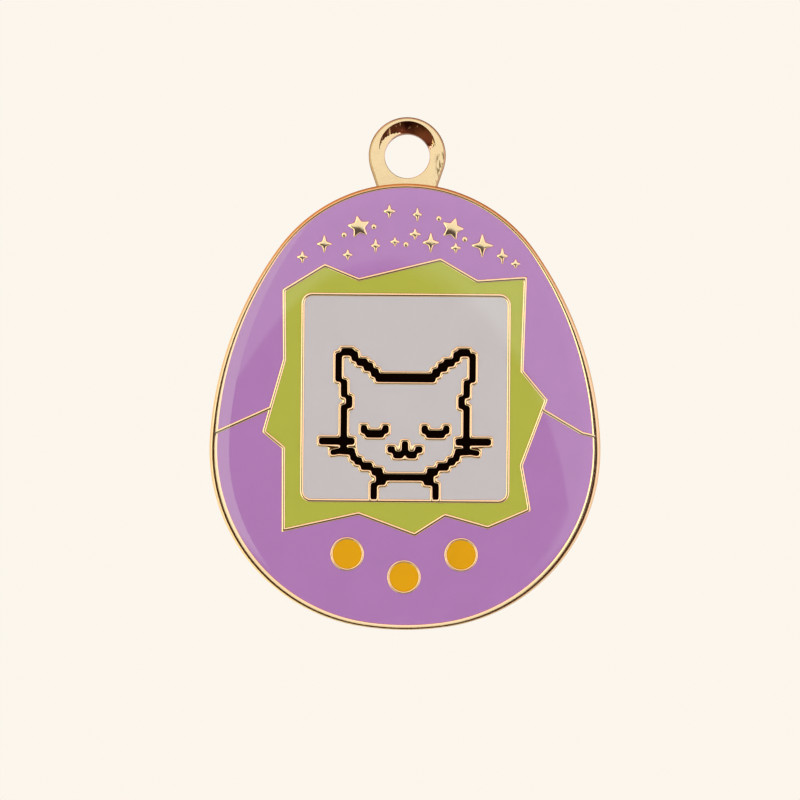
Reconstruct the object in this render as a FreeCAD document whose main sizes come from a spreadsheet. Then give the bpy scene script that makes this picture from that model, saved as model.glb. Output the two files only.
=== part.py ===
"""Virtual-pet keychain charm: a gold-plated, die-struck blank with a hanging eye, coloured enamel
poured into the cells between its raised lines, and a clear domed coat over the face.

Millimetres. +Z points up to the hanging eye, the decorated face looks along -Y, and the origin is
the centre of the eye's hole."""

import FreeCAD, Part
import math
import os
import Sketcher
from FreeCAD import Rotation, Vector

doc = FreeCAD.newDocument("pet_charm")

# ---------------------------------------------------------------- driving dimensions

DIMENSIONS = [
    ("crown_top", -2.7, "level of the body's top edge; the eye's centre is level 0"),
    ("widest_level", -28.55, "level of the body's widest section"),
    ("body_width", 38.0, "widest width of the egg-shaped body"),
    ("crown_radius", 15.3, "outline radius across the top"),
    ("flank_radius", 35.0, "outline radius along each upper side"),
    ("hip_radius", 17.4, "outline radius round each lower side"),
    ("base_radius", 27.4, "outline radius across the bottom"),
    ("full_size", 0.0, "inset and pinch of the body's own edge"),
    ("blank_thickness", 2.0, "thickness of the struck blank from back to line tops"),
    ("cell_depth", 0.6, "height of the raised lines above the cells' floor"),
    ("enamel_depth", 0.5, "depth of enamel poured in each cell"),
    ("rim_inset", 0.48, "width of the rim round the cells, at the top and bottom"),
    ("rim_pinch", 0.3, "how much wider the rim is at the sides"),
    ("rim_round", 0.3, "rounding of the rim's front edge"),
    ("back_round", 0.25, "rounding of the back edge"),
    ("back_border", 0.9, "width of the raised border on the back"),
    ("back_recess", 0.15, "depth of the recessed field on the back"),
    ("eye_hole_radius", 2.2, "radius of the hole in the eye"),
    ("eye_radius", 3.75, "outer radius of the eye"),
    ("eye_thickness", 1.7, "thickness of the eye, flush with the back"),
    ("eye_mouth_round", 0.55, "rounding of the eye's hole at the front"),
    ("eye_edge_round", 0.35, "rounding of the eye's other edges"),
    ("eye_foot", 2.9, "distance from the axis at which the eye's straight sides run into the body"),
    ("eye_foot_level", -3.1, "level of the lower ends of the eye's straight sides"),
    ("line_width", 0.35, "width of the raised lines"),
    ("fine_line", 0.25, "width of the raised lines round the black cells"),
    ("screen_size", 20.0, "side of the square screen, line centre to line centre"),
    ("screen_level", -23.55, "level of the screen's centre"),
    ("screen_corner", 0.9, "corner radius of the screen's line"),
    ("button_radius", 1.4, "radius of each button's enamel"),
    ("button_spread", 5.53, "distance of the outer buttons from the axis"),
    ("outer_button_level", -38.73, "level of the outer buttons"),
    ("middle_button_level", -40.93, "level of the middle button"),
    ("coat_edge_inset", 0.35, "distance of the clear coat's edge from the body's edge, but for the pinch"),
    ("coat_shoulder_inset", 1.9, "the same for the clear coat's shoulder"),
    ("coat_crown_inset", 5.7, "the same for the clear coat's flat crown"),
    ("coat_shoulder_height", 0.4, "height of the clear coat's shoulder over the line tops"),
    ("coat_height", 0.55, "height of the clear coat's crown over the line tops"),
]

sheet = doc.addObject("Spreadsheet::Sheet", "sheet")
for row, (alias, value, meaning) in enumerate(DIMENSIONS, 1):
    sheet.set(f"A{row}", meaning)
    sheet.set(f"B{row}", str(value))
    sheet.setAlias(f"B{row}", alias)
doc.recompute()

# Levels through the thickness, as distances in front of mid thickness.
BACK = "-sheet.blank_thickness / 2"
FACE = "sheet.blank_thickness / 2"
CELL_FLOOR = "sheet.blank_thickness / 2 - sheet.cell_depth"
ENAMEL_TOP = "sheet.blank_thickness / 2 - sheet.cell_depth + sheet.enamel_depth"


def dim(alias):
    """The sheet's number under this alias."""
    return float(sheet.get(alias))


# ---------------------------------------------------------------- artwork, as (x, z) corners

# Corners of the jagged line's centre, clockwise from its upper left corner.
JAGGED_LINE = [
    (-11.85, -13.2), (-7.9, -10.75), (-4.6, -12.1), (3.3, -10.13), (6.9, -12.2), (11.55, -11.85),
    (11.3, -20.85), (13.65, -23.65), (11.3, -30.0), (12.1, -34.3), (8.1, -36.05), (3.95, -34.9),
    (1.0, -36.8), (-4.45, -34.8), (-11.75, -36.45), (-11.8, -28.45), (-13.7, -26.9), (-11.75, -19.9),
]

# The lines that part the upper shell from the lower one, from the jagged line to the rim.
PARTING_LINES = [
    [(-13.05, -24.6), (-13.6, -24.85), (-18.45, -27.05)],
    [(13.33, -24.6), (17.2, -26.85), (18.45, -27.15)],
]

# Raised four-point stars on the upper shell: centre, half width and half height.
STARS = [
    (-10.1, -9.95, 0.5, 0.55), (-7.98, -8.66, 0.7, 0.82), (-5.7, -9.7, 0.44, 0.5),
    (-1.69, -5.45, 0.55, 0.62), (-1.13, -8.4, 0.42, 0.42), (0.82, -7.65, 0.52, 0.52),
    (2.35, -8.45, 0.77, 0.92), (4.78, -8.95, 0.46, 0.46), (7.35, -8.7, 1.02, 1.08),
    (10.6, -10.45, 0.42, 0.42), (-3.0, -8.8, 0.42, 0.64), (1.03, -5.75, 0.42, 0.64), (9.3, -9.7, 0.52, 0.75),
]
STAR_WAIST = 0.36  # distance of a star's inner corners from its centre, as a share of its points'

# Raised five-point stars: centre and the angle of the first point, anticlockwise from +X.
BIG_STARS = [(-4.64, -6.98, 100), (4.44, -7.1, 73)]
BIG_STAR_RADIUS = 1.05
BIG_STAR_WAIST = 0.5

# Raised dots between the stars.
DOTS = [(-6.07, -7.77), (-3.18, -6.95), (-0.05, -8.65), (3.12, -6.1), (5.65, -8.1)]
DOT_RADIUS = 0.27

# The cat is drawn in square strokes, mirrored about the charm's axis. Each stroke is its nearest and
# farthest distance from the axis, then its lowest and highest level.
CAT_OUTLINE = [
    (5.05, 6.25, -19.45, -18.75),  # ear tip
    (6.2, 6.8, -22.0, -19.2),  # ear, outer side
    (4.62, 5.25, -20.0, -19.05),  # ear, inner slope in four steps
    (3.7, 4.75, -20.45, -19.75),
    (3.15, 4.05, -20.95, -20.15),
    (2.6, 3.35, -21.5, -20.7),
    (0.0, 2.9, -22.0, -21.2),  # brow
    (5.65, 6.25, -23.5, -21.8),  # temple
    (5.15, 5.75, -24.55, -23.35),  # jog in the cheek
    (5.65, 6.25, -27.55, -24.25),  # cheek
    (4.9, 8.35, -28.1, -27.45),  # upper whisker
    (5.7, 6.25, -28.65, -28.05),  # link down to the jaw
    (4.85, 6.2, -29.05, -28.45),  # jaw in five steps
    (4.72, 5.3, -29.65, -28.95),
    (4.15, 4.88, -30.05, -29.35),
    (3.15, 4.27, -30.55, -29.85),
    (2.15, 3.22, -31.05, -30.35),
    (1.85, 2.78, -32.0, -30.95),  # corner of jaw and neck
    (0.0, 2.1, -31.55, -30.95),  # chin
    (2.7, 3.3, -33.45, -31.8),  # neck
]
CAT_EYES = [(1.6, 2.2, -27.0, -26.2), (3.7, 4.3, -27.0, -26.2), (2.05, 3.85, -27.4, -26.7)]
CAT_MOUTH = [(0.0, 0.3, -29.05, -27.75), (0.98, 1.7, -28.85, -28.25), (0.15, 1.15, -29.4, -28.75)]

# The lower whisker's upper root corner, as distance from the axis and level, then its size and droop.
WHISKER_ROOT = (5.8, -28.4)
WHISKER_LENGTH = 1.5
WHISKER_WIDTH = 0.5
WHISKER_DROOP = 10.0

BUTTONS = {
    "left": (-dim("button_spread"), dim("outer_button_level")),
    "middle": (0.0, dim("middle_button_level")),
    "right": (dim("button_spread"), dim("outer_button_level")),
}

# A point inside each enamel cell, where its colour is poured.
POUR_POINTS = {
    "enamel_shell_upper": (0.0, -4.3),
    "enamel_shell_lower": (0.0, -44.0),
    "enamel_jagged_frame": (0.0, -12.5),
    "enamel_screen": (0.0, -15.5),
    "enamel_cat_face": (0.0, -24.5),
    "enamel_cat_chest": (0.0, -32.8),
    "enamel_cat_outline": (0.0, -21.55),
    "enamel_eye_left": (-3.0, -27.0),
    "enamel_eye_right": (3.0, -27.0),
    "enamel_nose_mouth": (0.0, -28.2),
}
POUR_POINTS.update({f"enamel_button_{side}": centre for side, centre in BUTTONS.items()})

# ---------------------------------------------------------------- outlines


def egg_arcs(inset, pinch):
    """The body's outline moved in by inset, and at the sides by pinch as well, as centre, radius, start
    and end angle of six tangent arcs, anticlockwise: crown, left flank, left hip, base, right hip, right
    flank."""
    crown = dim("crown_radius") - inset
    flank = dim("flank_radius") - inset
    hip = dim("hip_radius") - inset
    base = dim("base_radius") - inset
    crown_level = dim("crown_top") - dim("crown_radius")
    hip_x = dim("body_width") / 2 - dim("hip_radius") - pinch
    hip_level = dim("widest_level")
    base_level = hip_level + math.sqrt((base - hip) ** 2 - hip_x**2)

    # Tangent circles: the flank's centre is (flank - crown) from the crown's centre and
    # (flank - hip) from the hip's, on the far side of the axis.
    span = math.hypot(hip_x, hip_level - crown_level)
    along = ((flank - crown) ** 2 - (flank - hip) ** 2 + span**2) / (2 * span)
    across = math.sqrt((flank - crown) ** 2 - along**2)
    step_x = hip_x / span
    step_z = (hip_level - crown_level) / span
    flank_x = along * step_x + across * step_z
    flank_level = crown_level + along * step_z - across * step_x

    crown_end = math.atan2(crown_level - flank_level, -flank_x)
    flank_end = math.atan2(hip_level - flank_level, hip_x - flank_x)
    hip_end = math.atan2(hip_level - base_level, hip_x)
    return [
        ((0, crown_level), crown, crown_end, math.pi - crown_end),
        ((-flank_x, flank_level), flank, math.pi - crown_end, math.pi - flank_end),
        ((-hip_x, hip_level), hip, math.pi - flank_end, math.pi - hip_end),
        ((0, base_level), base, math.pi - hip_end, 2 * math.pi + hip_end),
        ((hip_x, hip_level), hip, hip_end, flank_end),
        ((flank_x, flank_level), flank, flank_end, crown_end),
    ]


def beside(path, distance, closed):
    """The corners of the line that runs at distance to the left of path, with mitred corners."""
    corners = []
    for place, (x, z) in enumerate(path):
        before = path[place - 1] if closed or place > 0 else None
        after = path[(place + 1) % len(path)] if closed or place < len(path) - 1 else None
        into = heading(before, (x, z)) if before else heading((x, z), after)
        out = heading((x, z), after) if after else into
        mitre = distance / (1 + into[0] * out[0] + into[1] * out[1])
        corners.append((x - mitre * (into[1] + out[1]), z + mitre * (into[0] + out[0])))
    return corners


def heading(start, end):
    length = math.dist(start, end)
    return ((end[0] - start[0]) / length, (end[1] - start[1]) / length)


def star_corners(centre, points, first_angle, half_width, half_height, waist):
    """A star's corners in turn, outer and inner, anticlockwise from the point at first_angle."""
    corners = []
    for step in range(2 * points):
        angle = math.radians(first_angle) + math.pi * step / points
        reach = waist if step % 2 else 1.0
        corner_x = centre[0] + half_width * reach * math.cos(angle)
        corner_z = centre[1] + half_height * reach * math.sin(angle)
        corners.append((corner_x, corner_z))
    return corners


# ---------------------------------------------------------------- sketches and features


def new_sketch(body, name, level, plane="XZ_Plane"):
    """A sketch on one of the body's own planes, moved along its normal by the expression level."""
    support = next(f for f in body.Origin.OriginFeatures if f.Role == plane)
    sketch = body.newObject("Sketcher::SketchObject", name)
    sketch.AttachmentSupport = [(support, "")]
    sketch.MapMode = "FlatFace"
    if level:
        sketch.setExpression(".AttachmentOffset.Base.z", level)
    return sketch


def bind(sketch, constraint, expression):
    """Add a constraint and bind its value to the expression."""
    place = sketch.addConstraint(constraint)
    sketch.setExpression(f"Constraints[{place}]", expression)


def draw_egg(sketch, inset, pinch):
    """The body's outline moved in by the sheet's inset and pinch, as six tangent arcs held by the sheet."""
    for (x, z), radius, start, end in egg_arcs(dim(inset), dim(pinch)):
        circle = Part.Circle(Vector(x, z, 0), Vector(0, 0, 1), radius)
        sketch.addGeometry(Part.ArcOfCircle(circle, start, end))
    crown, left_flank, left_hip, base, right_hip, right_flank = range(6)
    for arc in range(6):
        sketch.addConstraint(Sketcher.Constraint("Tangent", arc, 2, (arc + 1) % 6, 1))
    sides = {
        "crown": [crown], "flank": [left_flank, right_flank], "hip": [left_hip, right_hip], "base": [base],
    }
    for side, arcs in sides.items():
        for arc in arcs:
            radius = Sketcher.Constraint("Radius", arc, sketch.Geometry[arc].Radius)
            bind(sketch, radius, f"sheet.{side}_radius - sheet.{inset}")
    for arc in (crown, base):
        sketch.addConstraint(Sketcher.Constraint("PointOnObject", arc, 3, -2))
    crown_drop = Sketcher.Constraint("DistanceY", crown, 3, -1, 1, -sketch.Geometry[crown].Center.y)
    bind(sketch, crown_drop, "sheet.crown_radius - sheet.crown_top")
    hip_drop = Sketcher.Constraint("DistanceY", right_hip, 3, -1, 1, -dim("widest_level"))
    bind(sketch, hip_drop, "-sheet.widest_level")
    hip_x = dim("body_width") / 2 - dim("hip_radius") - dim(pinch)
    for ends in ((-1, 1, right_hip, 3), (left_hip, 3, -1, 1)):
        side = Sketcher.Constraint("DistanceX", *ends, hip_x)
        bind(sketch, side, f"sheet.body_width / 2 - sheet.hip_radius - sheet.{pinch}")


def draw_polygon(sketch, corners):
    first = sketch.GeometryCount
    count = len(corners)
    for start, end in zip(corners, corners[1:] + corners[:1]):
        sketch.addGeometry(Part.LineSegment(Vector(*start, 0), Vector(*end, 0)))
    for side in range(count):
        ends = (first + side, 2, first + (side + 1) % count, 1)
        sketch.addConstraint(Sketcher.Constraint("Coincident", *ends))


def draw_circle(sketch, centre, radius, expression):
    circle = sketch.addGeometry(Part.Circle(Vector(*centre, 0), Vector(0, 0, 1), radius))
    bind(sketch, Sketcher.Constraint("Radius", circle, radius), expression)


def draw_rounded_square(sketch, growth):
    """The screen's rounded square, grown by growth line widths on each side."""
    grown = growth * dim("line_width")
    half = dim("screen_size") / 2 + grown
    corner = dim("screen_corner") + grown
    level = dim("screen_level")
    first = sketch.GeometryCount
    for turn in range(4):
        quarter = math.pi / 2 * turn
        across = Vector(math.cos(quarter), math.sin(quarter), 0)
        up = Vector(-across.y, across.x, 0)
        middle = Vector(0, level, 0) + across * half
        centre = middle - across * corner + up * (half - corner)
        sketch.addGeometry(Part.LineSegment(middle - up * (half - corner), middle + up * (half - corner)))
        circle = Part.Circle(centre, Vector(0, 0, 1), corner)
        sketch.addGeometry(Part.ArcOfCircle(circle, quarter, quarter + math.pi / 2))
    for edge in range(8):
        ends = (first + edge, 2, first + (edge + 1) % 8, 1)
        sketch.addConstraint(Sketcher.Constraint("Tangent", *ends))
    right, top, left, bottom = (first + 2 * side for side in range(4))
    for edge in (right, left):
        sketch.addConstraint(Sketcher.Constraint("Vertical", edge))
    for edge in (top, bottom):
        sketch.addConstraint(Sketcher.Constraint("Horizontal", edge))
    grown_text = f"{growth} * sheet.line_width"
    for arc in range(first + 1, first + 8, 2):
        bind(sketch, Sketcher.Constraint("Radius", arc, corner), f"sheet.screen_corner + {grown_text}")
    for ends in ((-1, 1, right, 1), (left, 1, -1, 1)):
        side = Sketcher.Constraint("DistanceX", *ends, half)
        bind(sketch, side, f"sheet.screen_size / 2 + {grown_text}")
    top_drop = Sketcher.Constraint("DistanceY", top, 1, -1, 1, -level - half)
    bind(sketch, top_drop, f"-sheet.screen_level - sheet.screen_size / 2 - {grown_text}")
    bottom_drop = Sketcher.Constraint("DistanceY", bottom, 1, -1, 1, half - level)
    bind(sketch, bottom_drop, f"sheet.screen_size / 2 + {grown_text} - sheet.screen_level")


def pad(body, sketch, length):
    """A pad from the sketch towards the front, of the length that the expression gives."""
    feature = body.newObject("PartDesign::Pad", f"{sketch.Name}_pad")
    feature.Profile = sketch
    feature.setExpression("Length", length)
    sketch.Visibility = False
    doc.recompute()
    return feature


def pocket(body, sketch, depth, towards_front):
    """A pocket from the sketch into the solid. Stops if it cuts nothing."""
    volume = body.Shape.Volume
    feature = body.newObject("PartDesign::Pocket", f"{sketch.Name}_pocket")
    feature.Profile = sketch
    feature.Reversed = towards_front
    feature.setExpression("Length", depth)
    doc.recompute()
    if body.Shape.Volume >= volume:
        raise RuntimeError(f"{feature.Name} cuts nothing")
    return feature


def round_edges(body, base, y, radius):
    """Round all the edges of base that lie at depth y."""
    edges = []
    for number, edge in enumerate(base.Shape.Edges, 1):
        if all(abs(vertex.Y - y) < 1e-6 for vertex in edge.Vertexes):
            edges.append(f"Edge{number}")
    feature = body.newObject("PartDesign::Fillet", f"{base.Name}_{radius}")
    feature.Base = (base, edges)
    feature.setExpression("Radius", f"sheet.{radius}")
    doc.recompute()
    return feature


# ---------------------------------------------------------------- the struck blank


def plate(body):
    """The egg-shaped plate, rounded at both faces, with its tray for the cells and its back field."""
    outline = new_sketch(body, "outline", BACK)
    draw_egg(outline, "full_size", "full_size")
    slab = pad(body, outline, "sheet.blank_thickness")
    half = dim("blank_thickness") / 2
    front_rounded = round_edges(body, slab, -half, "rim_round")
    round_edges(body, front_rounded, half, "back_round")
    tray = new_sketch(body, "tray", FACE)
    draw_egg(tray, "rim_inset", "rim_pinch")
    pocket(body, tray, "sheet.cell_depth", towards_front=False)
    field = new_sketch(body, "back_field", BACK)
    draw_egg(field, "back_border", "full_size")
    pocket(body, field, "sheet.back_recess", towards_front=True)


def eye(body):
    """The hanging eye: a rounded section turned about the hole's axis."""
    sketch = new_sketch(body, "eye_section", "", plane="XY_Plane")
    inner = dim("eye_hole_radius")
    outer = dim("eye_radius")
    back = dim("blank_thickness") / 2
    front = back - dim("eye_thickness")
    edge = dim("eye_edge_round")
    mouth = dim("eye_mouth_round")
    corners = [
        ((inner + mouth, front + mouth), mouth, math.pi, 1.5 * math.pi),
        ((outer - edge, front + edge), edge, 1.5 * math.pi, 2 * math.pi),
        ((outer - edge, back - edge), edge, 0, 0.5 * math.pi),
        ((inner + edge, back - edge), edge, 0.5 * math.pi, math.pi),
    ]
    arcs = []
    for (x, y), radius, start, end in corners:
        arcs.append(Part.ArcOfCircle(Part.Circle(Vector(x, y, 0), Vector(0, 0, 1), radius), start, end))
    for arc, following in zip(arcs, arcs[1:] + arcs[:1]):
        sketch.addGeometry(arc)
        sketch.addGeometry(Part.LineSegment(arc.EndPoint, following.StartPoint))
    for edge_number in range(8):
        ends = (edge_number, 2, (edge_number + 1) % 8, 1)
        sketch.addConstraint(Sketcher.Constraint("Tangent", *ends))
    for arc in range(0, 8, 2):
        alias = "eye_edge_round" if arc else "eye_mouth_round"
        bind(sketch, Sketcher.Constraint("Radius", arc, sketch.Geometry[arc].Radius), f"sheet.{alias}")
    front_line, outer_line, back_line, inner_line = 1, 3, 5, 7
    sketch.addConstraint(Sketcher.Constraint("Horizontal", front_line))
    sketch.addConstraint(Sketcher.Constraint("Horizontal", back_line))
    sketch.addConstraint(Sketcher.Constraint("Vertical", outer_line))
    sketch.addConstraint(Sketcher.Constraint("Vertical", inner_line))
    bind(sketch, Sketcher.Constraint("DistanceX", -1, 1, inner_line, 1, inner), "sheet.eye_hole_radius")
    bind(sketch, Sketcher.Constraint("DistanceX", -1, 1, outer_line, 1, outer), "sheet.eye_radius")
    bind(sketch, Sketcher.Constraint("DistanceY", -1, 1, back_line, 1, back), "sheet.blank_thickness / 2")
    front_place = Sketcher.Constraint("DistanceY", front_line, 1, -1, 1, -front)
    bind(sketch, front_place, "sheet.eye_thickness - sheet.blank_thickness / 2")
    turned = body.newObject("PartDesign::Revolution", "eye_ring")
    turned.Profile = sketch
    turned.ReferenceAxis = (sketch, ["V_Axis"])
    turned.Angle = 360
    doc.recompute()


def eye_feet(body):
    """The corners between the eye's ring and its straight sides, which touch the ring and run down into
    the body."""
    foot_x = dim("eye_foot")
    foot_level = dim("eye_foot_level")
    radius = dim("eye_radius")
    foot_angle = math.atan2(foot_level, foot_x)
    touch_angle = foot_angle + math.acos(radius / math.hypot(foot_x, foot_level))
    reach = 0.99 * radius
    touch = (reach * math.cos(touch_angle), reach * math.sin(touch_angle))
    sketch = new_sketch(body, "eye_feet", BACK)
    for side in (1, -1):
        corners = [(foot_x, foot_level), touch, (0.55 * foot_x, foot_level)]
        draw_polygon(sketch, [(side * x, z) for x, z in corners])
    pad(body, sketch, "sheet.eye_thickness")


def raised_lines(body):
    """The jagged frame's line, the screen's line, the parting lines and the button rings."""
    half = dim("line_width") / 2
    jagged = new_sketch(body, "jagged_line", CELL_FLOOR)
    for distance in (half, -half):
        draw_polygon(jagged, beside(JAGGED_LINE, distance, closed=True))
    pad(body, jagged, "sheet.cell_depth")

    screen = new_sketch(body, "screen_line", CELL_FLOOR)
    for growth in (0.5, -0.5):
        draw_rounded_square(screen, growth)
    pad(body, screen, "sheet.cell_depth")

    parting = new_sketch(body, "parting_lines", CELL_FLOOR)
    for path in PARTING_LINES:
        draw_polygon(parting, beside(path, half, closed=False) + beside(path, -half, closed=False)[::-1])
    pad(body, parting, "sheet.cell_depth")

    rings = new_sketch(body, "button_rings", CELL_FLOOR)
    for centre in BUTTONS.values():
        draw_circle(rings, centre, dim("button_radius"), "sheet.button_radius")
        outer = dim("button_radius") + dim("fine_line")
        draw_circle(rings, centre, outer, "sheet.button_radius + sheet.fine_line")
    pad(body, rings, "sheet.cell_depth")


def raised_stars(body):
    """The stars and dots scattered over the upper shell."""
    stars = new_sketch(body, "stars", CELL_FLOOR)
    for x, z, half_width, half_height in STARS:
        draw_polygon(stars, star_corners((x, z), 4, 90, half_width, half_height, STAR_WAIST))
    for x, z, first_angle in BIG_STARS:
        reach = BIG_STAR_RADIUS
        draw_polygon(stars, star_corners((x, z), 5, first_angle, reach, reach, BIG_STAR_WAIST))
    pad(body, stars, "sheet.cell_depth")
    dots = new_sketch(body, "dots", CELL_FLOOR)
    for centre in DOTS:
        dots.addGeometry(Part.Circle(Vector(*centre, 0), Vector(0, 0, 1), DOT_RADIUS))
    pad(body, dots, "sheet.cell_depth")


def stroke(name, corner, size, growth, droop=0.0):
    """A block from the cells' floor to the line tops: its lower left corner and size as (x, z), and
    growth, the expression of what it grows by on every side. droop turns it about the corner."""
    block = doc.addObject("Part::Box", name)
    grown = f"({growth})"
    block.setExpression("Length", f"{size[0]:.3f} + 2 * {grown}")
    block.setExpression("Height", f"{size[1]:.3f} + 2 * {grown}")
    block.setExpression("Width", "sheet.cell_depth")
    slope = math.radians(droop)
    back_x = math.cos(slope) - math.sin(slope)
    back_z = math.cos(slope) + math.sin(slope)
    block.Placement.Rotation = Rotation(Vector(0, -1, 0), droop)
    block.setExpression(".Placement.Base.x", f"{corner[0]:.3f} - {back_x:.6f} * {grown}")
    block.setExpression(".Placement.Base.y", f"-({FACE})")
    block.setExpression(".Placement.Base.z", f"{corner[1]:.3f} - {back_z:.6f} * {grown}")
    return block


def strokes(name, drawing, growth):
    """The blocks of a drawing made of square strokes, on both sides of the axis."""
    blocks = []
    for number, (near, far, low, high) in enumerate(drawing):
        height = high - low
        if near == 0.0:
            blocks.append(stroke(f"{name}_{number}", (-far, low), (2 * far, height), growth))
            continue
        blocks.append(stroke(f"{name}_{number}_right", (near, low), (far - near, height), growth))
        blocks.append(stroke(f"{name}_{number}_left", (-far, low), (far - near, height), growth))
    return blocks


def whiskers(name, growth):
    """The two lower whiskers, which droop away from the cheeks."""
    size = (WHISKER_LENGTH, WHISKER_WIDTH)
    slope = math.radians(WHISKER_DROOP)
    root_x, root_top = WHISKER_ROOT
    right = (root_x - WHISKER_WIDTH * math.sin(slope), root_top - WHISKER_WIDTH * math.cos(slope))
    tip_x = root_x + WHISKER_LENGTH * math.cos(slope)
    tip_top = root_top - WHISKER_LENGTH * math.sin(slope)
    left = (-tip_x + WHISKER_WIDTH * math.sin(slope), tip_top - WHISKER_WIDTH * math.cos(slope))
    return [
        stroke(f"{name}_right", right, size, growth, -WHISKER_DROOP),
        stroke(f"{name}_left", left, size, growth, WHISKER_DROOP),
    ]


def cat_blocks(name, growth):
    """Every stroke of the cat, grown by the expression growth."""
    blocks = strokes(f"{name}_outline", CAT_OUTLINE, growth)
    blocks += strokes(f"{name}_eyes", CAT_EYES, growth)
    blocks += strokes(f"{name}_mouth", CAT_MOUTH, growth)
    blocks += whiskers(f"{name}_whisker", growth)
    return blocks


def joined(name, pieces):
    fusion = doc.addObject("Part::MultiFuse", name)
    fusion.Shapes = pieces
    return fusion


def cut(name, base, tool):
    difference = doc.addObject("Part::Cut", name)
    difference.Base = base
    difference.Tool = tool
    return difference


def struck_blank():
    """The blank in one piece: plate, eye, raised lines and stars, with the cat's black cells sunk in."""
    body = doc.addObject("PartDesign::Body", "blank_body")
    plate(body)
    eye(body)
    eye_feet(body)
    raised_lines(body)
    raised_stars(body)
    cat_line = joined("cat_line", cat_blocks("line", "sheet.fine_line"))
    cat_cells = joined("cat_cells", cat_blocks("cell", "0"))
    return cut("metal_blank", joined("blank_with_cat", [body, cat_line]), cat_cells)


# ---------------------------------------------------------------- enamel and clear coat


def tray_fill():
    """Everything in the tray up to the enamel's surface."""
    body = doc.addObject("PartDesign::Body", "fill_body")
    sketch = new_sketch(body, "fill", CELL_FLOOR)
    draw_egg(sketch, "rim_inset", "rim_pinch")
    pad(body, sketch, "sheet.enamel_depth")
    return body


def pour_enamel(blank):
    """One solid of enamel for each pour point: the cell round it, filled to the enamel's surface."""
    poured = cut("poured", tray_fill(), blank)
    doc.recompute()
    depth = dim("blank_thickness") / 2 - dim("cell_depth") + dim("enamel_depth") / 2
    cells = []
    for name, (x, z) in POUR_POINTS.items():
        point = Vector(x, -depth, z)
        inside = [solid for solid in poured.Shape.Solids if solid.isInside(point, 1e-6, False)]
        if len(inside) != 1:
            raise RuntimeError(f"{name} is poured into {len(inside)} cells")
        cell = doc.addObject("Part::Feature", name)
        cell.Shape = inside[0]
        cells.append(cell)
    return cells


def clear_coat(blank):
    """The domed coat over the lines and enamel, from just inside the rim's edge."""
    body = doc.addObject("PartDesign::Body", "coat_body")
    over_enamel = new_sketch(body, "over_enamel", ENAMEL_TOP)
    draw_egg(over_enamel, "rim_inset", "rim_pinch")
    pad(body, over_enamel, "sheet.cell_depth - sheet.enamel_depth")
    sections = []
    for name, inset, rise in (
        ("coat_edge", "coat_edge_inset", "0"),
        ("coat_shoulder", "coat_shoulder_inset", "sheet.coat_shoulder_height"),
        ("coat_crown", "coat_crown_inset", "sheet.coat_height"),
    ):
        section = new_sketch(body, name, f"{FACE} + {rise}")
        draw_egg(section, inset, "rim_pinch")
        sections.append(section)
    dome = body.newObject("PartDesign::AdditiveLoft", "coat_dome")
    dome.Profile = sections[0]
    dome.Sections = sections[1:]
    dome.Ruled = True
    doc.recompute()
    return cut("epoxy_dome", body, blank)


# ---------------------------------------------------------------- the charm


def check(nodes):
    """Stop if any object failed or a piece isn't one valid solid."""
    for item in doc.Objects:
        if any(word in ("Invalid", "Error") for word in item.State):
            raise RuntimeError(f"{item.Name} failed: {item.State}")
    for node in nodes:
        shape = node.Shape
        if shape.isNull() or not shape.isValid() or len(shape.Solids) != 1:
            raise RuntimeError(f"{node.Name} isn't one valid solid")
        print(f"{node.Name:22} {shape.Volume:9.2f} mm3  {len(shape.Faces):4} faces")


blank = struck_blank()
nodes = [blank, *pour_enamel(blank), clear_coat(blank)]
doc.recompute()
for node in nodes:
    node.Label = node.Name
check(nodes)
os.makedirs("parts", exist_ok=True)
for node in nodes:
    node.Shape.exportStep(f"parts/{node.Label}.step")
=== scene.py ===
"""Looks of the enamel keychain charm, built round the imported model.

The outlines and the artwork are in millimetres in the charm's own (x, z) plane, and y is the depth:
the decorated face looks along -Y. Levels and places that the frame knows are read from its nodes."""

import math
from collections import namedtuple

import bmesh
import bpy
import numpy as np
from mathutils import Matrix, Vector
from mathutils.geometry import delaunay_2d_cdt


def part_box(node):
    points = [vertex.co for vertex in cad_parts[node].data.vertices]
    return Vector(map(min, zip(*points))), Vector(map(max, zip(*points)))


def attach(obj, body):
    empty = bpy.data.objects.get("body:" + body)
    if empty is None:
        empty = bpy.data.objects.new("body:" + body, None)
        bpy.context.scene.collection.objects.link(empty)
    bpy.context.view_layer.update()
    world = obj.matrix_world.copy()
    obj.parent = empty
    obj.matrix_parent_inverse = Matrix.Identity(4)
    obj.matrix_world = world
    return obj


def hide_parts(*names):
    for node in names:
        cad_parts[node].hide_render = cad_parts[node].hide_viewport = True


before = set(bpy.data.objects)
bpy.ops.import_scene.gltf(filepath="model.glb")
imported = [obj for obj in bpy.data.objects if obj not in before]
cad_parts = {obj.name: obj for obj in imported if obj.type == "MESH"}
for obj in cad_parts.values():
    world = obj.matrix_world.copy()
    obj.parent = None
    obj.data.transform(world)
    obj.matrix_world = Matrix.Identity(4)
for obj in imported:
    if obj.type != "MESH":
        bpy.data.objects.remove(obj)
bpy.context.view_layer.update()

MM = 0.001


def node_box(node):
    """The lowest and highest corner of a CAD node, in millimetres."""
    low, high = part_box(node)
    return [c / MM for c in low], [c / MM for c in high]


# ---- levels and sizes, from the frame

blank_low, blank_high = node_box("metal_blank")
shell_low, shell_high = node_box("enamel_shell_upper")
screen_low, screen_high = node_box("enamel_screen")

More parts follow.
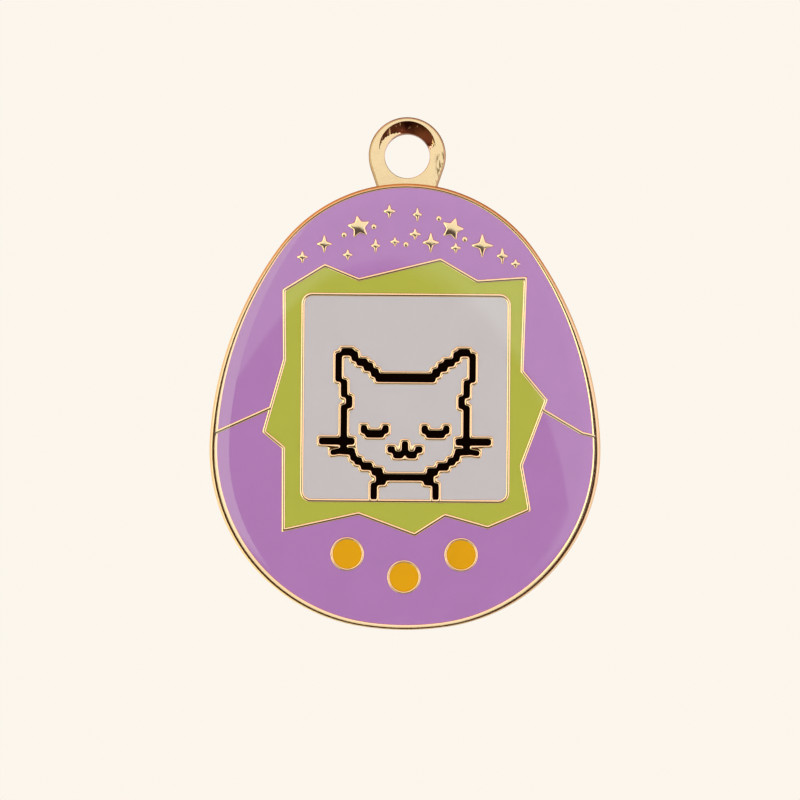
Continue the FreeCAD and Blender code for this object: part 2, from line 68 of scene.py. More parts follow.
FRONT = blank_low[1]  # the tops of the rim and lines
BACK = blank_high[1]
ENAMEL_TOP = shell_low[1]
CELL_FLOOR = shell_high[1]
LINE_RISE = ENAMEL_TOP - FRONT  # how far the metal stands proud of the enamel
COAT_TOP = node_box("epoxy_dome")[0][1]
EYE_RADIUS = blank_high[2]
CENTRE = [(low + high) / 2 for low, high in zip(blank_low, blank_high)]

# ---- the body's outline and section

CROWN_TOP = -2.7
WIDEST_LEVEL = -28.55
BODY_WIDTH = 38.0
CROWN_RADIUS = 15.3
FLANK_RADIUS = 35.0
HIP_RADIUS = 17.4
BASE_RADIUS = 27.4

RIM_INSET = 0.48  # width of the rim at the top and bottom
RIM_PINCH = 0.3  # how much wider the rim is at the sides
RIM_INNER_SHARE = 0.5  # share of the rim's width over which its inner edge is rounded, at the sides
RIM_OUTER_SHARE = 0.42  # share of the rim's width over which its outer edge is rounded, at the sides
RIM_LEAN = 0.2  # how much of both shares goes from the inner edge to the outer one at the top
RIM_ROUND = 0.5  # depth of the outer rounding
BACK_ROUND = 0.25
BACK_BORDER = 0.9
BACK_RECESS = 0.15

EYE_HOLE_RADIUS = 2.2
EYE_FRONT = -0.7
EYE_MOUTH = 0.2  # width of the worn bevel at the front of the hole, at its ends
EYE_MOUTH_WEAR = 0.95  # how much wider the worn bevel is at the top
EYE_MOUTH_SLOPE = 0.5  # depth of the worn bevel at the hole, as a share of its width
EYE_MOUTH_TURNS = (18, 33, 77, 112)  # degrees at which that slope starts, is full, starts to fade and ends
EYE_MOUTH_ROUND = 0.05  # rounding between the bevel and the hole
MOUTH_BANDS = 10  # bands of faces across the bevel
MOUTH_SHADE_START = 22.0  # degrees at which the painted shade on the bevel starts, on average over its ragged end
MOUTH_SHADE_NARROWS = 103.0  # degrees at which it starts to narrow, and at which it has gone
MOUTH_SHADE_END = 168.0
EYE_EDGE_ROUND = 0.2
EYE_FOOT = (2.9, -3.1)  # where the eye's straight sides run into the body, as (x, z)
EYE_BOTTOM = -3.3

LINE_WIDTH = 0.35  # the jagged line, the parting lines and the screen's line
FINE_LINE = 0.25  # the cat's outline and the buttons' rings
SCREEN_CORNER = 0.9
STAR_BEVEL = 0.13  # width of the rounding at a star's or a dot's edge
STAR_CROWN = 0.08  # how far a star's middle stands over the lines, as a share of its size
STAR_GROWTH = 0.08  # how far the plating swells a star's outline
ENAMEL_DIP = 0.02  # how far the enamel sinks away from the metal's edges
DIP_REACH = 0.3  # the distance over which it does most of that

COAT_SHARE = 0.7  # share of the rim's inner rounding that the clear coat covers; one of EDGE_SHARES
COAT_SPREAD = 1.6  # the inset over which the clear coat comes up most of its height
COAT_REACH = 13.5  # inset of the coat's innermost ring of faces
COAT_RINGS = 24
COAT_GAP = 0.004  # hair's breadth between the coat's underside and what it covers

STEP = 0.3  # longest edge along a curve
GRID = 0.9  # spacing of the enamel's inner points
CAT_SOFTNESS = 0.13  # how far the corners of the cat's strokes are softened
STAR_SOFTNESS = 0.06  # the same for the stars

# ---- artwork, as (x, z) corners

# Corners of the jagged line's centre, clockwise from its upper left corner.
JAGGED_LINE = [
    (-11.85, -13.2), (-7.9, -10.75), (-4.6, -12.1), (3.3, -10.13), (6.9, -12.2), (11.55, -11.85),
    (11.3, -20.85), (13.65, -23.65), (11.3, -30.0), (12.1, -34.3), (8.1, -36.05), (3.95, -34.9),
    (1.0, -36.8), (-4.45, -34.8), (-11.75, -36.45), (-11.8, -28.45), (-13.7, -26.9), (-11.75, -19.9),
]

# The lines that part the upper shell from the lower one, from the jagged line to the rim.
PARTING_LINES = [
    [(-13.05, -24.6), (-13.6, -24.85), (-18.3, -27.0)],
    [(13.33, -24.6), (17.2, -26.85), (18.3, -27.1)],
]

# Four-point stars: centre, half width and half height.
STARS = [
    (-10.1, -9.95, 0.5, 0.55), (-7.98, -8.66, 0.7, 0.82), (-5.7, -9.7, 0.44, 0.5),
    (-1.69, -5.45, 0.55, 0.62), (-1.13, -8.4, 0.42, 0.42), (0.82, -7.65, 0.52, 0.52),
    (2.35, -8.45, 0.77, 0.92), (4.78, -8.95, 0.46, 0.46), (7.35, -8.7, 1.02, 1.08),
    (10.6, -10.45, 0.42, 0.42), (-3.0, -8.8, 0.42, 0.64), (1.03, -5.75, 0.42, 0.64), (9.3, -9.7, 0.52, 0.75),
]
STAR_WAIST = 0.36  # distance of a star's inner corners from its centre, as a share of its points'

# Five-point stars: centre and the angle of the first point, anticlockwise from +X.
BIG_STARS = [(-4.64, -6.98, 100), (4.44, -7.1, 73)]
BIG_STAR_RADIUS = 1.05
BIG_STAR_WAIST = 0.5

DOTS = [(-6.07, -7.77), (-3.18, -6.95), (-0.05, -8.65), (3.12, -6.1), (5.65, -8.1)]
DOT_RADIUS = 0.27

# The cat's square strokes, mirrored about the charm's axis: nearest and farthest distance from the
# axis, lowest and highest level.
CAT_OUTLINE = [
    (5.05, 6.25, -19.45, -18.75),  # ear tip
    (6.2, 6.8, -22.0, -19.2),  # ear, outer side
    (4.62, 5.25, -20.0, -19.05),  # ear, inner slope in four steps
    (3.7, 4.75, -20.45, -19.75),
    (3.15, 4.05, -20.95, -20.15),
    (2.6, 3.35, -21.5, -20.7),
    (0.0, 2.9, -22.0, -21.2),  # brow
    (5.65, 6.25, -23.5, -21.8),  # temple
    (5.15, 5.75, -24.55, -23.35),  # jog in the cheek
    (5.65, 6.25, -27.55, -24.25),  # cheek
    (4.9, 8.35, -28.1, -27.45),  # upper whisker
    (5.7, 6.25, -28.65, -28.05),  # link down to the jaw
    (4.85, 6.2, -29.05, -28.45),  # jaw in five steps
    (4.72, 5.3, -29.65, -28.95),
    (4.15, 4.88, -30.05, -29.35),
    (3.15, 4.27, -30.55, -29.85),
    (2.15, 3.22, -31.05, -30.35),
    (1.85, 2.78, -32.0, -30.95),  # corner of jaw and neck
    (0.0, 2.1, -31.55, -30.95),  # chin
    (2.7, 3.3, -33.45, -31.8),  # neck
]
CAT_EYES = [(1.6, 2.2, -27.0, -26.2), (3.7, 4.3, -27.0, -26.2), (2.05, 3.85, -27.4, -26.7)]
CAT_MOUTH = [(0.0, 0.3, -29.05, -27.75), (0.98, 1.7, -28.85, -28.25), (0.15, 1.15, -29.4, -28.75)]

# The lower whisker's upper root corner, as distance from the axis and level, then its size and droop.
WHISKER_ROOT = (5.8, -28.4)
WHISKER_LENGTH = 1.5
WHISKER_WIDTH = 0.5
WHISKER_DROOP = 10.0

# Each cell that isn't a button: its node, a point inside it, as (x, z), and its enamel.
CELLS = {
    "enamel_shell_upper": ((0.0, -4.3), "purple_enamel"),
    "enamel_shell_lower": ((0.0, -44.0), "purple_enamel"),
    "enamel_jagged_frame": ((0.0, -12.5), "green_enamel"),
    "enamel_screen": ((0.0, -15.5), "pale_enamel"),
    "enamel_cat_face": ((0.0, -24.5), "pale_enamel"),
    "enamel_cat_chest": ((0.0, -32.8), "pale_enamel"),
    "enamel_cat_outline": ((0.0, -21.55), "black_enamel"),
    "enamel_eye_left": ((-3.0, -27.0), "black_enamel"),
    "enamel_eye_right": ((3.0, -27.0), "black_enamel"),
    "enamel_nose_mouth": ((0.0, -28.2), "black_enamel"),
}

BUTTON_CENTRES = []
for side in ("left", "middle", "right"):
    button_low, button_high = node_box(f"enamel_button_{side}")
    centre = ((button_low[0] + button_high[0]) / 2, (button_low[2] + button_high[2]) / 2)
    BUTTON_CENTRES.append(centre)
    CELLS[f"enamel_button_{side}"] = (centre, "yellow_enamel")
BUTTON_RADIUS = (button_high[0] - button_low[0]) / 2

# ---- outlines


def egg_arcs(pinch):
    """The body's outline, pinched in at the sides, as centre, radius, start and end angle of six tangent
    arcs, anticlockwise."""
    crown_level = CROWN_TOP - CROWN_RADIUS
    hip_x = BODY_WIDTH / 2 - HIP_RADIUS - pinch
    base_level = WIDEST_LEVEL + math.sqrt((BASE_RADIUS - HIP_RADIUS) ** 2 - hip_x**2)

    # Tangent circles: the flank's centre is (FLANK - CROWN) from the crown's centre and (FLANK - HIP)
    # from the hip's, on the far side of the axis.
    from_crown = FLANK_RADIUS - CROWN_RADIUS
    from_hip = FLANK_RADIUS - HIP_RADIUS
    span = math.hypot(hip_x, WIDEST_LEVEL - crown_level)
    along = (from_crown**2 - from_hip**2 + span**2) / (2 * span)
    across = math.sqrt(from_crown**2 - along**2)
    step_x = hip_x / span
    step_z = (WIDEST_LEVEL - crown_level) / span
    flank_x = along * step_x + across * step_z
    flank_level = crown_level + along * step_z - across * step_x

    crown_end = math.atan2(crown_level - flank_level, -flank_x)
    flank_end = math.atan2(WIDEST_LEVEL - flank_level, hip_x - flank_x)
    hip_end = math.atan2(WIDEST_LEVEL - base_level, hip_x)
    return [
        ((0, crown_level), CROWN_RADIUS, crown_end, math.pi - crown_end),
        ((-flank_x, flank_level), FLANK_RADIUS, math.pi - crown_end, math.pi - flank_end),
        ((-hip_x, WIDEST_LEVEL), HIP_RADIUS, math.pi - flank_end, math.pi - hip_end),
        ((0, base_level), BASE_RADIUS, math.pi - hip_end, 2 * math.pi + hip_end),
        ((hip_x, WIDEST_LEVEL), HIP_RADIUS, hip_end, flank_end),
        ((flank_x, flank_level), FLANK_RADIUS, flank_end, crown_end),
    ]


OUTER_ARCS = egg_arcs(0.0)
CELL_ARCS = egg_arcs(RIM_PINCH)
ARC_STEPS = [math.ceil(radius * (end - start) / STEP) for _, radius, start, end in OUTER_ARCS]


def egg(arcs, inset):
    """The outline moved in by inset. Every such outline has the same number of points."""
    points = []
    for (centre, radius, start, end), count in zip(arcs, ARC_STEPS):
        for angle in np.linspace(start, end, count, endpoint=False):
            reach = radius - inset
            points.append((centre[0] + reach * math.cos(angle), centre[1] + reach * math.sin(angle)))
    return points


def egg_inset(points, arcs):
    """How far inside the outline each point is."""
    inset = np.full(len(points), np.inf)
    for centre, radius, start, end in arcs:
        away = points - centre
        turn = (np.arctan2(away[:, 1], away[:, 0]) - start) % (2 * math.pi)
        here = radius - np.hypot(away[:, 0], away[:, 1])
        inset = np.where(turn <= end - start + 1e-9, np.minimum(inset, here), inset)
    return inset


RIM_INNER = np.array(egg(CELL_ARCS, RIM_INSET))
RIM_OUTER = np.array(egg(OUTER_ARCS, 0.0))
RIM_MIDDLE = (RIM_INNER + RIM_OUTER) / 2


def rim_ring(shares):
    """The outline that lies at these shares of the rim's width from its inner edge, one for each of its
    points."""
    return [tuple(point) for point in RIM_INNER + shares[:, None] * (RIM_OUTER - RIM_INNER)]


def lean(points):
    """From -1 at the body's bottom to 1 at its top."""
    middle = (RIM_OUTER[:, 1].max() + RIM_OUTER[:, 1].min()) / 2
    return (points[:, 1] - middle) / (RIM_OUTER[:, 1].max() - middle)


def inner_share(points):
    """The share of the rim's width over which its inner edge is rounded."""
    return RIM_INNER_SHARE - RIM_LEAN * lean(points)


def outer_share(points):
    """The share of the rim's width over which its outer edge is rounded."""
    return RIM_OUTER_SHARE + RIM_LEAN * lean(points)


def rim_share(points):
    """How far across the rim each point is, from its inner edge, 0, to the outer one, 1. Inside the
    rim it is the distance to the rim, negative."""
    from_inner = RIM_INSET - egg_inset(points, CELL_ARCS)
    from_outer = egg_inset(points, OUTER_ARCS)
    across = from_inner / np.maximum(from_inner + from_outer, 1e-6)
    return np.where(from_inner > 0, across, from_inner)


def heading(start, end):
    """The direction from start to end, one long."""
    length = math.dist(start, end)
    return ((end[0] - start[0]) / length, (end[1] - start[1]) / length)


def beside(path, distance, closed):
    """The corners of the line that runs at distance to the left of path, with mitred corners."""
    corners = []
    for place, (x, z) in enumerate(path):
        before = path[place - 1] if closed or place > 0 else None
        after = path[(place + 1) % len(path)] if closed or place < len(path) - 1 else None
        into = heading(before, (x, z)) if before else heading((x, z), after)
        out = heading((x, z), after) if after else into
        mitre = distance / (1 + into[0] * out[0] + into[1] * out[1])
        corners.append((x - mitre * (into[1] + out[1]), z + mitre * (into[0] + out[0])))
    return corners


def star_corners(centre, points, first_angle, half_width, half_height, waist):
    """A star's corners in turn, outer and inner, anticlockwise from the point at first_angle."""
    corners = []
    for step in range(2 * points):
        angle = math.radians(first_angle) + math.pi * step / points
        reach = waist if step % 2 else 1.0
        corner_x = centre[0] + half_width * reach * math.cos(angle)
        corner_z = centre[1] + half_height * reach * math.sin(angle)
        corners.append((corner_x, corner_z))
    return corners


def circle(centre, radius):
    count = max(16, math.ceil(2 * math.pi * radius / STEP * 2))
    angles = np.linspace(0, 2 * math.pi, count, endpoint=False)
    return [(centre[0] + radius * math.cos(a), centre[1] + radius * math.sin(a)) for a in angles]


def rounded_square(centre, half, corner):
    points = []
    for turn in range(4):
        for angle in np.linspace(0, math.pi / 2, 7) + turn * math.pi / 2:
            sign_x = 1 if turn in (0, 3) else -1
            sign_z = 1 if turn in (0, 1) else -1
            x = centre[0] + sign_x * (half - corner) + corner * math.cos(angle)
            z = centre[1] + sign_z * (half - corner) + corner * math.sin(angle)
            points.append((x, z))
    return points


# ---- distances


def edges_of(path, closed=True):
    """Each edge's start and end."""
    return zip(path, path[1:] + path[:1] if closed else path[1:])


def path_distance(points, path, closed):
    """Distance of each point from the path."""
    nearest = np.full(len(points), np.inf)
    for start, end in edges_of(path, closed):
        side = np.subtract(end, start)
        along = np.clip((points - start) @ side / (side @ side), 0, 1)
        away = points - start - along[:, None] * side
        nearest = np.minimum(nearest, np.hypot(away[:, 0], away[:, 1]))
    return nearest


def star_distance(points, corners):
    """Distance of each point from a star's outline, negative inside it."""
    inside = np.zeros(len(points), bool)
    for start, end in edges_of(corners):
        crosses = (start[1] > points[:, 1]) != (end[1] > points[:, 1])
        slope = (end[0] - start[0]) / (end[1] - start[1] + 1e-12)
        inside ^= crosses & (points[:, 0] < start[0] + slope * (points[:, 1] - start[1]))
    return path_distance(points, corners, True) * np.where(inside, -1, 1)


def square_distance(points, centre, half, corner):
    """Distance of each point from a rounded square, negative inside it."""
    away = np.abs(points - centre) - (half - corner)
    outside = np.hypot(*np.maximum(away, 0).T)
    return outside + np.minimum(away.max(1), 0) - corner


class Field:
    """A distance sampled on a grid over a rectangle and softened, so that its level curves turn round
    corners. Outside the rectangle it is far from any edge."""

    def __init__(self, distance, low, high, spacing, softness):
        self.low = np.array(low)
        self.spacing = spacing
        count = np.ceil((np.array(high) - self.low) / spacing).astype(int) + 1
        columns, rows = np.meshgrid(np.arange(count[0]), np.arange(count[1]), indexing="ij")
        places = self.low + spacing * np.stack([columns.ravel(), rows.ravel()], 1)
        values = distance(places).reshape(count)
        reach = math.ceil(3 * softness / spacing)
        weights = np.exp(-0.5 * (np.arange(-reach, reach + 1) * spacing / softness) ** 2)
        weights /= weights.sum()
        values = np.pad(values, reach, mode="edge")
        for axis in (0, 1):
            values = np.apply_along_axis(np.convolve, axis, values, weights, "valid")
        self.values = values

    def __call__(self, points):
        place = (points - self.low) / self.spacing
        last = np.array(self.values.shape) - 1
        outside = ((place < 0) | (place > last)).any(1)
        place = np.clip(place, 0, last - 1e-6)
        i, j = np.floor(place).astype(int).T
        u, v = (place - np.floor(place)).T
        near = self.values[i, j] * (1 - u) + self.values[i + 1, j] * u
        far = self.values[i, j + 1] * (1 - u) + self.values[i + 1, j + 1] * u
        return np.where(outside, 10.0, near * (1 - v) + far * v)

    def level_curve(self, level):
        """Points and edges of the curve on which the distance is level."""
        above = self.values > level
        points = []
        numbers = {}

        def crossing(start, end):
            if above[start] == above[end]:
                return None
            if (start, end) not in numbers:
                share = (level - self.values[start]) / (self.values[end] - self.values[start])
                place = np.array(start) + share * np.subtract(end, start)
                numbers[start, end] = len(points)
                points.append(tuple(self.low + self.spacing * place))
            return numbers[start, end]

        count = above[:-1, :-1].astype(int) + above[1:, :-1] + above[:-1, 1:] + above[1:, 1:]
        edges = []
        for i, j in np.argwhere((count > 0) & (count < 4)):
            corners = [(i, j), (i + 1, j), (i + 1, j + 1), (i, j + 1)]
            sides = [(0, 1), (1, 2), (3, 2), (0, 3)]
            found = [crossing(corners[a], corners[b]) for a, b in sides]
            found = [number for number in found if number is not None]
            edges += list(zip(found[::2], found[1::2]))
        return points, edges


# ---- raised parts of the metal

# A raised part: distance gives how far each point is from its edge, negative on the metal; it is
# rounded up to its rise over the first reach of that distance; the mesh follows its curves, each of
# which is points and edges.
Raised = namedtuple("Raised", "distance reach rise curves")

# How far in from a raised part's edge the mesh follows it, as shares of the rounding's reach.
EDGE_SHARES = (0.0, 0.05, 0.18, 0.4, 0.7, 1.0)


def subdivided(points, closed):
    """The same outline with no edge longer than STEP."""
    fine = []
    for start, end in edges_of(points, closed):
        count = math.ceil(math.dist(start, end) / STEP)
        for share in np.arange(count) / count:
            fine.append(tuple(np.add(start, np.multiply(share, np.subtract(end, start)))))
    return fine if closed else fine + [points[-1]]


def chain(points, closed=True):
    """The outline as points and edges."""
    edges = [(place, place + 1) for place in range(len(points) - 1)]
    if closed:
        edges.append((len(points) - 1, 0))
    return points, edges


def line_offsets(half):
    """How far from a line's centre the mesh follows it, on both sides."""
    return [offset for share in EDGE_SHARES for offset in {half * (1 - share), half * (share - 1)}]


def line_curves(outline, half, closed=True):
    """Curves along a line: outline(offset) gives the one at offset from its centre."""
    return [chain(subdivided(outline(offset), closed), closed) for offset in line_offsets(half)]


def level_rise(points):
    return np.full(len(points), LINE_RISE)


def path_line(path, closed):
    half = LINE_WIDTH / 2
    return Raised(
        lambda points: path_distance(points, path, closed) - half,
        half, level_rise,
        line_curves(lambda offset: beside(path, offset, closed), half, closed),
    )


def button_ring(centre):
    half = FINE_LINE / 2
    middle = BUTTON_RADIUS + half
    return Raised(
        lambda points: np.abs(np.hypot(*(points - centre).T) - middle) - half,
        half, level_rise,
        line_curves(lambda offset: circle(centre, middle + offset), half),
    )


def screen_line():
    half = LINE_WIDTH / 2
    centre = ((screen_low[0] + screen_high[0]) / 2, (screen_low[2] + screen_high[2]) / 2)
    size = (screen_high[0] - screen_low[0] + LINE_WIDTH) / 2
    return Raised(
        lambda points: np.abs(square_distance(points, centre, size, SCREEN_CORNER)) - half,
        half, level_rise,
        line_curves(lambda offset: rounded_square(centre, size + offset, SCREEN_CORNER + offset), half),
    )


def crown(centre, size):
    """The rise of a star or dot of this size: highest at its centre."""

    def rise(points):
        away = np.hypot(*(points - centre).T) / size
        return LINE_RISE + STAR_CROWN * size * (1 - np.minimum(away, 1) ** 2)

    return rise


def star(centre, corners):
    """A star with softened points, steep sides and a gently crowned top."""
    edge = np.array(corners)
    field = Field(
        lambda points: star_distance(points, corners) - STAR_GROWTH,
        edge.min(0) - 0.25, edge.max(0) + 0.25, spacing=0.05, softness=STAR_SOFTNESS,
    )
    deepest = -field.values.min()
    depths = [share * STAR_BEVEL for share in EDGE_SHARES] + [0.22, 0.34, 0.5]
    curves = [field.level_curve(-depth) for depth in depths if depth < deepest - 0.01]
    return Raised(field, STAR_BEVEL, crown(centre, np.ptp(edge, axis=0).max() / 2), curves)


def dot(centre):
    depths = [share * STAR_BEVEL for share in EDGE_SHARES] + [0.2]
    return Raised(
        lambda points: np.hypot(*(points - centre).T) - DOT_RADIUS,
        STAR_BEVEL, crown(centre, DOT_RADIUS),
        [chain(circle(centre, DOT_RADIUS - depth)) for depth in depths],
    )


def rim_distance(points):
    """Distance of each point from the rim, or how far it is over the rim's inner rounding, negative."""
    share = rim_share(points)
    return -np.where(share > 0, share / inner_share(points), share)


def rim():
    """The rim's inner edge. Its outer part belongs to the plate's edge."""
    shares = [inner_share(RIM_MIDDLE) * share for share in EDGE_SHARES]
    shares.append(1 - outer_share(RIM_MIDDLE))
    return Raised(rim_distance, 1.0, level_rise, [chain(rim_ring(share)) for share in shares])


def cat_strokes():
    """Every stroke of the cat as centre, half size and turn."""
    boxes = []
    for near, far, low, high in CAT_OUTLINE + CAT_EYES + CAT_MOUTH:
        half = ((far - near) / 2, (high - low) / 2)
        if near == 0.0:
            boxes.append(((0.0, (low + high) / 2), (far, half[1]), 0.0))
            continue
        for side in (1, -1):
            boxes.append(((side * (near + far) / 2, (low + high) / 2), half, 0.0))
    slope = math.radians(WHISKER_DROOP)
    half = (WHISKER_LENGTH / 2, WHISKER_WIDTH / 2)
    middle_x = WHISKER_ROOT[0] + half[0] * math.cos(slope) - half[1] * math.sin(slope)
    middle_z = WHISKER_ROOT[1] - half[0] * math.sin(slope) - half[1] * math.cos(slope)
    for side in (1, -1):
        boxes.append(((side * middle_x, middle_z), half, -side * slope))
    return boxes


def stroke_distance(points, centre, half, turn):
    """Distance of each point from a stroke, negative inside it."""
    away = points - centre
    along = away[:, 0] * math.cos(turn) + away[:, 1] * math.sin(turn)
    across = away[:, 1] * math.cos(turn) - away[:, 0] * math.sin(turn)
    beyond = np.stack([np.abs(along) - half[0], np.abs(across) - half[1]], 1)
    return np.hypot(*np.maximum(beyond, 0).T) + np.minimum(beyond.max(1), 0)


def cat_line():
    """The fine line round all the cat's black cells."""
    boxes = cat_strokes()
    margin = 0.8
    reach_x = max(centre[0] + half[0] for centre, half, _ in boxes) + margin
    low = (-reach_x, min(centre[1] - half[1] for centre, half, _ in boxes) - margin)
    high = (reach_x, max(centre[1] + half[1] for centre, half, _ in boxes) + margin)
    field = Field(
        lambda points: np.min([stroke_distance(points, *box) for box in boxes], axis=0),
        low, high, spacing=0.08, softness=CAT_SOFTNESS,
    )
    half = FINE_LINE / 2
    curves = [field.level_curve(half + offset) for offset in line_offsets(half)]
    return Raised(lambda points: np.abs(field(points) - half) - half, half, level_rise, curves)


def raised_parts():
    parts = [rim(), path_line(JAGGED_LINE, True), screen_line(), cat_line()]
    parts += [path_line(path, False) for path in PARTING_LINES]
    parts += [button_ring(centre) for centre in BUTTON_CENTRES]
    for x, z, half_width, half_height in STARS:
        parts.append(star((x, z), star_corners((x, z), 4, 90, half_width, half_height, STAR_WAIST)))
    for x, z, first_angle in BIG_STARS:
        reach = BIG_STAR_RADIUS
        corners = star_corners((x, z), 5, first_angle, reach, reach, BIG_STAR_WAIST)
        parts.append(star((x, z), corners))
    parts += [dot(centre) for centre in DOTS]
    return parts


PARTS = raised_parts()


def metal_edge(points):
    """Distance of each point from the nearest raised metal's edge, negative on the metal."""
    return np.min([part.distance(points) for part in PARTS], axis=0)


def surface_level(points):
    """The depth of the struck face at each point: the metal's where it is raised, else the enamel's."""
    rise = np.zeros(len(points))
    for part in PARTS:
        share = np.clip(-part.distance(points) / part.reach, 0, 1)
        rise = np.maximum(rise, part.rise(points) * np.sqrt(1 - (1 - share) ** 2))
    dip = ENAMEL_DIP * (1 - np.exp(-np.maximum(metal_edge(points), 0) / DIP_REACH))
    return ENAMEL_TOP - rise + dip


# ---- the struck face as one net


def face_net():
    """Triangles that fill the rim's top and everything inside it, and follow every raised part's
    curves: points, triangles, and whether each triangle is metal."""
    corners = []
    edges = []
    for part in PARTS:
        for curve, curve_edges in part.curves:
            edges += [(len(corners) + start, len(corners) + end) for start, end in curve_edges]
            corners += curve

    # Points in offset rows all over the body, but for those on the metal or close to it.
    grid = []
    for row in range(-60, 60):
        level = CENTRE[2] + 0.87 * GRID * row
        shift = GRID / 2 * (row % 2)
        grid += [(GRID * column + shift, level) for column in range(-30, 30)]
    grid = np.array(grid)
    clear = metal_edge(grid) > 0.4 * GRID
    corners += [tuple(point) for point in grid[clear]]

    points, _, faces, *_ = delaunay_2d_cdt([Vector(c) for c in corners], edges, [], 0, 1e-4)
    points = np.array(points)
    triangles = np.array([face for face in faces if len(face) == 3])
    middles = points[triangles].mean(1)
    inside = rim_share(middles) < 1 - outer_share(middles)
    return points, triangles[inside], metal_edge(middles[inside]) < 0


def find_cells(triangles, is_metal):
    """The cell number of each triangle, or -1 on metal."""
    owner = {}
    neighbours = {}
    for number, (a, b, c) in enumerate(triangles):
        if is_metal[number]:
            continue
        neighbours[number] = []
        for edge in (frozenset((a, b)), frozenset((b, c)), frozenset((c, a))):
            if edge in owner:
                neighbours[number].append(owner[edge])
                neighbours[owner[edge]].append(number)
            owner[edge] = number
    cell = np.full(len(triangles), -1)
    count = 0
    for seed in neighbours:
        if cell[seed] >= 0:
            continue
        waiting = [seed]
        cell[seed] = count
        while waiting:
            for beyond in neighbours[waiting.pop()]:
                if cell[beyond] < 0:
                    cell[beyond] = count
                    waiting.append(beyond)
        count += 1
    return cell


def holding(points, triangles, place):
    """The number of the triangle that holds the place."""
    a, b, c = (points[triangles[:, k]] for k in range(3))
    sides = []
    for start, end in ((a, b), (b, c), (c, a)):
        edge = end - start
        away = np.array(place) - start
        sides.append(edge[:, 0] * away[:, 1] - edge[:, 1] * away[:, 0])
    sides = np.array(sides)
    within = (sides >= 0).all(0) | (sides <= 0).all(0)
    return int(np.flatnonzero(within)[0])


# ---- meshes

# Numbers of the materials on the struck blank and on the eye.
# The third material on the blank is rough gold with a painted orange reflection towards the top.
PLATED, BLASTED, ROUGH_EDGE_PAINTED_ORANGE = range(3)
SCUFFED, SHADED_MOUTH, SHADED_SIDE = range(3)


class Builder:
    """Collects corners, in millimetres, and faces, each with its material's number. Corners at the same
    place are one."""

    def __init__(self):
        self.places = {}
        self.faces = []
        self.kinds = []

    def corner(self, x, y, z):
        key = (round(x, 4), round(y, 4), round(z, 4))
        return self.places.setdefault(key, len(self.places))

    def face(self, corners, kind=PLATED):
        numbers = [self.corner(*corner) for corner in corners]
        kept = [n for place, n in enumerate(numbers) if n != numbers[place - 1]]
        if len(set(kept)) > 2:
            self.faces.append(kept)
            self.kinds.append(kind)

    def bands(self, rings, kind=PLATED):
        """Bands of faces between rings of equally many points."""
        for ring, following in zip(rings, rings[1:]):
            for place in range(len(ring)):
                corners = [ring[place - 1], ring[place], following[place], following[place - 1]]
                self.face(corners, kind)

    def mesh(self, name):
        mesh = bpy.data.meshes.new(name)
        mesh.from_pydata([(x * MM, y * MM, z * MM) for x, y, z in self.places], [], self.faces)
        mesh.polygons.foreach_set("material_index", self.kinds)
        return mesh


def net_faces(builder, points, levels, triangles):
    for triangle in triangles:
        builder.face([(points[n][0], levels[n], points[n][1]) for n in triangle])


def net_walls(builder, points, levels, triangles, floor):
    """Walls from the outline of these triangles down to the floor."""
    sides = dict.fromkeys(side for a, b, c in triangles for side in ((a, b), (b, c), (c, a)))
    for start, end in sides:
        if (end, start) in sides:
            continue
        a, b = points[start], points[end]
        top = [(b[0], levels[end], b[1]), (a[0], levels[start], a[1])]
        builder.face(top + [(a[0], floor, a[1]), (b[0], floor, b[1])])


def new_object(name, data):
    thing = bpy.data.objects.new(name, data)
    bpy.context.scene.collection.objects.link(thing)
    return thing


def finished(builder, name, sharp_angle):
    """An object from the builder's mesh, with its faces turned outwards and smooth between edges sharper
    than the angle."""
    mesh = builder.mesh(name)
    work = bmesh.new()
    work.from_mesh(mesh)
    bmesh.ops.recalc_face_normals(work, faces=work.faces)
    work.to_mesh(mesh)
    work.free()
    mesh.shade_smooth()
    mesh.set_sharp_from_angle(angle=math.radians(sharp_angle))
    return new_object(name, mesh)


def quarter(count, size):
    """A quarter round in count steps, from its side to its top, as how far in and down each point is."""
    angles = [math.pi / 2 * step / count for step in range(count + 1)]
    return [(size * (1 - math.cos(angle)), size * (1 - math.sin(angle))) for angle in angles]


def at_level(outline, level):
    """The outline as a ring of corners at one depth."""
    return [(x, level, z) for x, z in outline]


def plate_edge(builder):
    """The plate's outside: the rim's outer rounding, the side, and the back with its raised border round
    a blasted field."""
    front = []
    for inset, drop in quarter(8, 1.0)[::-1]:
        shares = 1 - outer_share(RIM_MIDDLE) * inset
        front.append(at_level(rim_ring(shares), FRONT + RIM_ROUND * drop))
    # The rim's outer rounding: rough gold with a painted orange reflection towards the top.
    builder.bands(front, ROUGH_EDGE_PAINTED_ORANGE)
    rings = front[-1:]
    for inset, drop in quarter(5, BACK_ROUND):
        rings.append(at_level(egg(OUTER_ARCS, inset), BACK - drop))
    soft = 0.08
    for inset, drop in quarter(4, soft)[::-1]:
        rings.append(at_level(egg(OUTER_ARCS, BACK_BORDER - inset), BACK - drop))
    builder.bands(rings)
    floor = BACK - BACK_RECESS
    foot = egg(OUTER_ARCS, BACK_BORDER)
    builder.bands([at_level(foot, BACK - soft), at_level(foot, floor)])
    field = [at_level(egg(OUTER_ARCS, inset), floor) for inset in (BACK_BORDER, 1.4, 3, 6, 9, 12, 14)]
    builder.bands(field, BLASTED)
    builder.face(field[-1], BLASTED)


def struck_blank(points, levels, triangles, is_metal):
    """The struck plate: its raised metal, the open cells, and everything outside them."""
    builder = Builder()
    net_faces(builder, points, levels, triangles[is_metal])
    cells = triangles[~is_metal]
    net_faces(builder, points, np.full(len(points), CELL_FLOOR), cells)
    net_walls(builder, points, levels, cells, CELL_FLOOR)
    plate_edge(builder)
    return finished(builder, "struck_blank", 32)


